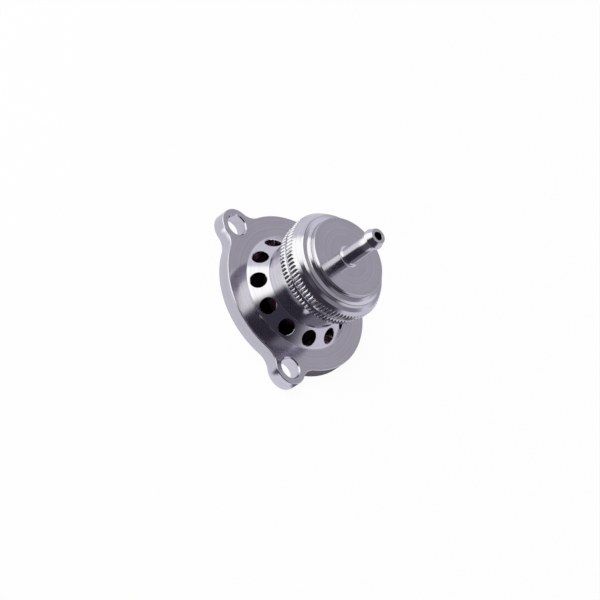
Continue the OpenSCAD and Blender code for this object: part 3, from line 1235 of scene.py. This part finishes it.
@dataclass(frozen=True)
class SpringSet:
    """Return spring between piston and cap, with its two shims. Sizes in mm."""

    foot_z: float = PistonSet.pocket_z
    head_z: float = 26.2
    coil_r: float = 6.6
    wire_r: float = 0.75
    turns: float = 8.0
    steps_per_turn: int = 40
    travel: float = 7.0
    shims: int = 2
    shim_columns: int = 144
    shim_r: float = 7.74
    shim_hole_r: float = 5.1
    shim_t: float = 0.5

    def build(self, tools: Tools, steel: bpy.types.Material) -> None:
        """Makes and dresses the spring and the shims above it.

        Args:
            tools: The node tools.
            steel: Finish of spring and shims.
        """
        length = self.head_z - self.foot_z
        spring = bpy.data.objects.new("coil", bpy.data.meshes.new("coil"))
        bpy.context.scene.collection.objects.link(spring)
        tools.coil.apply(spring, {
            "Turns": self.turns, "Coil Radius": self.coil_r * MM, "Wire Radius": self.wire_r * MM,
            "Foot": self.foot_z * MM, "Length": length * MM, "Steps": int(self.turns * self.steps_per_turn),
            "Material": steel})
        dress(spring, "return_spring", Body.VALVE, Slot.STEEL, steel)
        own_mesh(spring)
        for place in range(self.shims):
            low = self.head_z + place * self.shim_t
            shim = turned(f"shim_{place + 1}", ring_corners(
                self.shim_hole_r, self.shim_r, low, low + self.shim_t, [Edge.LAPPED] * 4),
                even_angles(self.shim_columns))
            dress(shim, f"spring_shim_{place + 1}", Body.CAP, Slot.STEEL, steel)


@dataclass(frozen=True)
class CapSet:
    """Knurled screw cap with its O-ring and hose nipple. Sizes in mm."""

    foot_z: float = ValveBody.joint_z
    foot_r: float = 16.2
    lip_r: float = 16.68
    lip_z: float = 20.5
    lip_top_r: float = 16.8
    lip_top_z: float = 21.3
    grip_r: float = 17.2
    grip_low_z: float = 21.7
    grip_high_z: float = 23.5
    band_r: float = 16.15
    band_z: float = 25.2
    slope_rows: int = 8
    ledge_r: float = 15.05
    ledge_z: float = 25.9
    ledge_steps: int = 5
    shoulder_r: float = 14.8
    shoulder_z: float = 26.9
    apron_r: float = 13.75
    apron_z: float = 27.28
    apron_hollow_r: float = 2.0
    apron_hollow_steps: int = 8
    boss_r: float = 12.8
    boss_z: float = 27.9
    top_z: float = 29.6
    shank_r: float = 2.5
    recess_z: float = 27.2
    recess_r: float = 7.8
    ceiling_z: float = 26.2
    thread_r: float = 13.6
    seal_room_r: float = 15.12
    seal_room_z: float = 22.02
    seal_r: float = 14.31
    seal_z: float = 21.21
    seal_section: float = 1.5
    stem_r: float = 2.67
    stem_foot_r: float = 1.0
    stem_foot_steps: int = 8
    barb_z: float = 40.7
    barb_r: float = 3.27
    barb_land: float = 0.8
    tip_z: float = 43.5
    tip_r: float = 2.45
    signal_r: float = 1.4
    nipple_columns: int = 120
    knurl: Knurl = Knurl()

    def cap_corners(self) -> list[Corner]:
        """Draws the cap.

        Returns:
            Its profile, outside first.
        """
        lip_top, grip_low = Corner(self.lip_top_r, self.lip_top_z), Corner(self.grip_r, self.grip_low_z)
        grip_high = Corner(self.grip_r, self.grip_high_z)
        band = Corner(self.band_r, self.band_z, Edge.CRISP)
        # The last part of the knurled slope is left to the band's edge round
        slope = stretch(grip_high, band, self.slope_rows)[:-1]
        return [Corner(self.foot_r, self.foot_z),
                Corner(self.lip_r, self.lip_z, Edge.KEEN),
                lip_top, *stretch(lip_top, grip_low, self.knurl.rows), grip_low,
                grip_high, *slope, band,
                Corner(self.ledge_r, self.ledge_z, Edge.DULLED, self.ledge_steps),
                Corner(self.shoulder_r, self.shoulder_z, Edge.CRISP),
                Corner(self.apron_r, self.apron_z, self.apron_hollow_r, self.apron_hollow_steps),
                Corner(self.boss_r, self.boss_z, Edge.FINE),
                Corner(self.boss_r, self.top_z, Edge.CRISP),
                Corner(self.shank_r, self.top_z),
                Corner(self.shank_r, self.recess_z, Edge.FINE),
                Corner(self.recess_r, self.recess_z, Edge.FINE),
                Corner(self.recess_r, self.ceiling_z, Edge.FINE),
                Corner(self.thread_r, self.ceiling_z, Edge.SOFT),
                Corner(self.thread_r, self.seal_room_z, Edge.FINE),
                Corner(self.seal_room_r, self.seal_room_z, Edge.FINE),
                Corner(self.seal_room_r, self.foot_z, Edge.FINE)]

    def nipple_corners(self) -> list[Corner]:
        """Draws the nipple.

        Returns:
            Its profile: shank, hollow foot, stem, barb and signal bore.
        """
        foot_r, steps = self.stem_foot_r, self.stem_foot_steps
        middle_r, middle_z = self.stem_r + foot_r, self.top_z + foot_r
        hollow = [Corner(middle_r - foot_r * math.sin(a), middle_z - foot_r * math.cos(a))
                  for a in (math.pi / 2 * k / steps for k in range(steps + 1))]
        return [Corner(self.signal_r, self.recess_z, Edge.FINE),
                Corner(self.shank_r, self.recess_z, Edge.FINE),
                Corner(self.shank_r, self.top_z), *hollow,
                Corner(self.stem_r, self.barb_z, Edge.FINE),
                Corner(self.barb_r, self.barb_z, Edge.CRISP),
                Corner(self.barb_r, self.barb_z + self.barb_land, Edge.BLUNT),
                Corner(self.tip_r, self.tip_z, Edge.DRESSED),
                Corner(self.signal_r, self.tip_z, Edge.EASED)]

    def build(self, tools: Tools, metal: bpy.types.Material, rubber: bpy.types.Material) -> None:
        """Makes and dresses the cap, the nipple that is pressed into it and the O-ring under it.

        Args:
            tools: The node tools.
            metal: Finish of cap and nipple.
            rubber: Finish of the O-ring.
        """
        cap = turned("cap_turned", self.cap_corners(), self.knurl.columns())
        margin = self.knurl.margin
        self.knurl.press(tools.knurl, cap, self.grip_r, self.foot_z - margin, self.band_z, metal)
        dress(cap, "cap", Body.CAP, Slot.ALUMINIUM, metal)
        nipple = turned("nipple_turned", self.nipple_corners(), even_angles(self.nipple_columns))
        dress(nipple, "hose_nipple", Body.CAP, Slot.ALUMINIUM, metal)
        dress(torus("cap_seal_ring", self.seal_r, self.seal_z, self.seal_section), "cap_oring",
              Body.CAP_SEAL, Slot.RUBBER, rubber)


@dataclass(frozen=True)
class Zone:
    """A patch of the studio as the metal sees it.

    Angles are in degrees: turn from the camera's bearing, and rise. Each limit is given with the width of its
    soft edge. A patch with a lean turns back as it rises past lean_from.
    """

    colour: tuple[float, float, float]
    turn: tuple[tuple[float, float], tuple[float, float]]
    rise: tuple[tuple[float, float], tuple[float, float]]
    lean: float = 0.0
    lean_from: float = 25.0

    def mask(self, turn: Wire, rise: Wire) -> Wire:
        """Draws the patch.

        Args:
            turn: Turn of each place.
            rise: Rise of each place.

        Returns:
            1 inside the patch, 0 outside it, and a smooth step across its edges.
        """
        leaning = turn + self.lean * (rise - self.lean_from).math("MAXIMUM", 0.0)
        inside: Value = 1.0
        for value, (low, high) in ((leaning, self.turn), (rise, self.rise)):
            start, end = (value.smooth(edge - soft / 2, edge + soft / 2) for edge, soft in (low, high))
            inside = start * (1.0 - end) * inside
        return inside


def seen_rays(graph: Graph, direct: float = 1.0, mirrored: float = 1.0) -> Wire:
    """Weighs the rays that show a background.

    Args:
        graph: The material's or the world's graph.
        direct: Value for a ray from the camera or through a clear surface.
        mirrored: Value for a ray from a reflection.

    Returns:
        That value, and 0 for any other ray.
    """
    path = graph.node("ShaderNodeLightPath")
    camera, glossy, clear = (Wire(graph, path.outputs[f"Is {kind} Ray"])
                             for kind in ("Camera", "Glossy", "Transmission"))
    return (direct * (camera + clear)).math("MAXIMUM", mirrored * glossy).clamp()


@dataclass(frozen=True)
class Studio:
    """White room: pale floor, soft lamp, and a dome of cards and flags that only the metal mirrors.

    Lengths are in mm, angles in degrees and the lamp's power in watts.
    """

    camera_turn: float
    ambient: float = 0.55
    paper: float = 0.9
    floor_white: float = 0.94
    floor_mirrored: float = 0.92
    floor_size: float = 12000.0
    floor_drop: float = 0.2
    dome_r: float = 600.0
    dome_foot: float = 0.5
    dome_rows: int = 16
    dome_columns: int = 72
    eye_z: float = 20.0
    lamp_turn: float = -60.0
    lamp_out: float = 600.0
    lamp_z: float = 900.0
    lamp_size: float = 600.0
    lamp_power: float = 5.5
    back: tuple[float, float, float] = (0.47, 0.46, 0.505)
    # Each zone lies over the ones before it: side cards, top cards, dark flag and key cards on the dome, then
    # the floor with its key and its flag, the strips beside the lugs, and the dark strip on the right, a
    # painted shadow of the valve on the floor that only reflections show
    zones: tuple[Zone, ...] = (
        Zone((0.78, 0.77, 0.85), ((80, 20), (141, 14)), ((-9, 2), (25, 8))),
        Zone((0.80, 0.79, 0.87), ((-160, 20), (-80, 10)), ((-9, 2), (40, 12))),
        Zone((0.90, 0.89, 0.97), ((130, 10), (160, 12)), ((24, 10), (60, 12))),
        Zone((0.30, 0.29, 0.33), ((60, 14), (124, 12)), ((29, 8), (80, 10))),
        Zone((0.38, 0.37, 0.42), ((-200, 2), (200, 2)), ((78, 8), (99, 2))),
        Zone((0.05, 0.045, 0.065), ((-45, 10), (76, 24)), ((-9, 2), (75, 8)), 0.4),
        Zone((1.50, 1.53, 1.43), ((-92, 4), (-31, 18)), ((-9, 2), (51, 5))),
        Zone((1.50, 1.53, 1.43), ((-113, 6), (-66, 14)), ((39, 5), (79, 8))),
        Zone((0.76, 0.75, 0.82), ((-200, 2), (200, 2)), ((-99, 2), (-9, 2))),
        Zone((1.60, 1.63, 1.53), ((-93, 6), (-19, 14)), ((-33, 2), (-9, 2))),
        Zone((0.05, 0.045, 0.065), ((-19, 14), (66, 22)), ((-33, 2), (-9, 2))),
        Zone((0.78, 0.77, 0.84), ((-94, 4), (-66, 4)), ((-99, 2), (-28, 2))),
        Zone((0.88, 0.87, 0.95), ((28, 4), (50, 4)), ((-99, 2), (-28, 2))),
        Zone((0.12, 0.11, 0.13), ((49, 5), (110, 20)), ((-99, 2), (-28, 2))))

    def light(self, graph: Graph) -> Wire:
        """Mixes the zones for a stage object.

        Args:
            graph: The graph of its material.

        Returns:
            The colour that the metal sees at each place of it.
        """
        spot = Wire(graph, graph.node("ShaderNodeTexCoord").outputs["Object"])
        x, y, z = (part / MM for part in graph.split(spot))
        degrees = 180.0 / math.pi
        turn = (y.math("ARCTAN2", x) * degrees - self.camera_turn).math("WRAP", 180.0, -180.0)
        rise = (z - self.eye_z).math("ARCTAN2", hypot(x, y)) * degrees
        light: Colour = self.back
        for zone in self.zones:
            light = graph.mix_colour(zone.mask(turn, rise), light, zone.colour)
        return light

    def dome(self) -> None:
        """Makes the dome, whose light only reflections show."""
        rises = [math.radians(self.dome_foot + (90.0 - self.dome_foot) * k / self.dome_rows)
                 for k in range(self.dome_rows)]
        wall = [Corner(self.dome_r * math.cos(a), self.dome_r * math.sin(a)) for a in rises]
        dome = turned("studio_dome", [*wall, Corner(0.0, self.dome_r)], even_angles(self.dome_columns), False)
        material, graph = new_graph("studio_dome")
        shade(graph, graph.node("ShaderNodeEmission", inputs={"Color": self.light(graph), "Strength": 1.0}))
        dome.data.materials.append(material)
        for ray in ("camera", "diffuse", "shadow", "transmission", "volume_scatter"):
            setattr(dome, f"visible_{ray}", False)

    def build(self) -> None:
        """Makes the world, the floor, the lamp and the dome."""
        world = bpy.data.worlds.new("white_room")
        world.use_nodes = True
        world.node_tree.nodes.clear()
        graph = Graph(world.node_tree)
        strength = self.ambient + (1.0 - self.ambient) * seen_rays(graph)
        sky = graph.node("ShaderNodeBackground", inputs={"Color": (1.0, 1.0, 1.0, 1.0), "Strength": strength})
        graph.node("ShaderNodeOutputWorld", inputs={"Surface": Wire(graph, sky.outputs[0])})
        bpy.context.scene.world = world
        self.floor()
        self.lamp()
        self.dome()
        log.info("studio: floor, lamp and a dome of %d zones", len(self.zones))

    def floor(self) -> None:
        """Makes the pale floor: nearly white with a soft shadow to the camera, and zones to reflections."""
        half, z = self.floor_size / 2 * MM, -self.floor_drop * MM
        mesh = bpy.data.meshes.new("floor")
        mesh.from_pydata([(-half, -half, z), (half, -half, z), (half, half, z), (-half, half, z)],
                         [], [(0, 1, 2, 3)])
        floor = bpy.data.objects.new("floor", mesh)
        bpy.context.scene.collection.objects.link(floor)
        material, graph = new_graph("pale_floor")
        grey = (self.paper, self.paper, self.paper, 1.0)
        paper = graph.node("ShaderNodeBsdfDiffuse", inputs={"Color": grey})
        mirrored = graph.wire("ShaderNodeLightPath", output="Is Glossy Ray")
        glow = graph.node("ShaderNodeEmission", inputs={
            "Color": graph.mix_colour(mirrored, (1.0, 1.0, 1.0), self.light(graph)), "Strength": 1.0})
        shade(graph, graph.node("ShaderNodeMixShader", inputs={
            0: seen_rays(graph, self.floor_white, self.floor_mirrored),
            1: Wire(graph, paper.outputs[0]), 2: Wire(graph, glow.outputs[0])}))
        mesh.materials.append(material)

    def lamp(self) -> None:
        """Hangs one large soft lamp, which the metal doesn't mirror."""
        light = bpy.data.lights.new("soft_lamp", "AREA")
        light.shape = "DISK"
        light.size = self.lamp_size * MM
        light.energy = self.lamp_power
        lamp = bpy.data.objects.new("soft_lamp", light)
        bearing = math.radians(self.camera_turn + self.lamp_turn)
        out = self.lamp_out
        place = Vector((out * math.cos(bearing), out * math.sin(bearing), self.lamp_z)) * MM
        lamp.matrix_world = Matrix.Translation(place) @ place.to_track_quat("Z", "Y").to_matrix().to_4x4()
        lamp.visible_glossy = False
        bpy.context.scene.collection.objects.link(lamp)


@dataclass(frozen=True)
class PhotoCamera:
    """Long lens at the photograph's viewing angle. Angles in degrees, lengths in mm."""

    turn: float = -69.683
    rise: float = 41.774
    roll: float = 55.489
    distance: float = 998.9
    lens: float = 200.0
    sensor: float = 36.0
    near: float = 10.0
    far: float = 100000.0
    target_z: float = 4.5
    shift_right: float = 1.087
    shift_up: float = -2.228

    def build(self) -> None:
        """Makes the camera and gives it to the scene."""
        turn, rise, roll = (math.radians(a) for a in (self.turn, self.rise, self.roll))
        back = Vector((math.cos(rise) * math.cos(turn), math.cos(rise) * math.sin(turn), math.sin(rise)))
        level = Vector((-math.sin(turn), math.cos(turn), 0.0))
        upright = back.cross(level)
        right = math.cos(roll) * level + math.sin(roll) * upright
        up = -math.sin(roll) * level + math.cos(roll) * upright
        target = Vector((0.0, 0.0, self.target_z)) + right * self.shift_right + up * self.shift_up
        place = (target + back * self.distance) * MM
        data = bpy.data.cameras.new("photo_camera")
        data.lens = self.lens
        data.sensor_width = self.sensor
        data.clip_start = self.near * MM
        data.clip_end = self.far * MM
        camera = bpy.data.objects.new("photo_camera", data)
        camera.matrix_world = Matrix.Translation(place) @ Matrix((right, up, back)).transposed().to_4x4()
        bpy.context.scene.collection.objects.link(camera)
        bpy.context.scene.camera = camera
        log.info("camera: lens %g mm at %g mm", self.lens, self.distance)


def main() -> None:
    """Builds the studio, the camera and every piece of the valve."""
    logging.basicConfig(level=logging.INFO, format="%(name)s: %(message)s")
    bpy.context.scene.view_settings.view_transform = "Standard"
    camera, body, cap = PhotoCamera(), ValveBody(), CapSet()
    camera.build()
    Studio(camera.turn).build()
    tools = Tools(straight_knurl(), screw_thread(), drilled_ring(), coiled_wire())
    aluminium = TurnedMetal(
        "turned_aluminium", bright=(0.67, 0.655, 0.71), dull=(0.60, 0.585, 0.64), roughness=0.11,
        # inside is the painted shade of the vent chamber
        handling=0.06, fine_tilt=0.045, feed_tilt=0.004, inside=(0.03, 0.015, 0.022),
        # Painted shade in the roots of both knurls
        knurls=(KnurlShade(body.ring_r, low_z=17.4, high_z=19.5, share=0.92),
                KnurlShade(cap.grip_r, low_z=21.2, high_z=24.1, share=0.7)),
        # Painted shade along the seams
        seams=((cap.shoulder_r, cap.shoulder_z), (cap.boss_r, cap.boss_z),
               (body.ring_top_r, body.joint_z), (cap.foot_r, cap.foot_z)))
    anodised = TurnedMetal(
        "plum_anodising", bright=(0.26, 0.07, 0.17), dull=(0.16, 0.04, 0.10), roughness=0.30,
        handling=0.12, fine_tilt=0.06, feed_tilt=0.03, metallic=0.3)
    rubber = MouldedFinish("seal_rubber", pale=(0.035, 0.035, 0.037), dark=(0.018, 0.018, 0.02),
                           roughness=0.55, grain_mm=0.12, grain_height=0.02)
    polymer = MouldedFinish("guide_polymer", pale=(0.84, 0.83, 0.79), dark=(0.76, 0.75, 0.70),
                            roughness=0.42, grain_mm=0.2, grain_height=0.01)
    steel = DrawnSteel("drawn_steel", bright=(0.60, 0.60, 0.62), dull=(0.46, 0.46, 0.50), roughness=0.3)
    metal, plum, seal, band, wire = (f.material() for f in (aluminium, anodised, rubber, polymer, steel))
    body.build(tools, metal, seal)
    PistonSet().build(plum, seal, band)
    SpringSet().build(tools, wire)
    cap.build(tools, metal, seal)
    log.info("%d solids of the frame dressed", len(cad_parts))


if __name__ == "__main__":
    main()
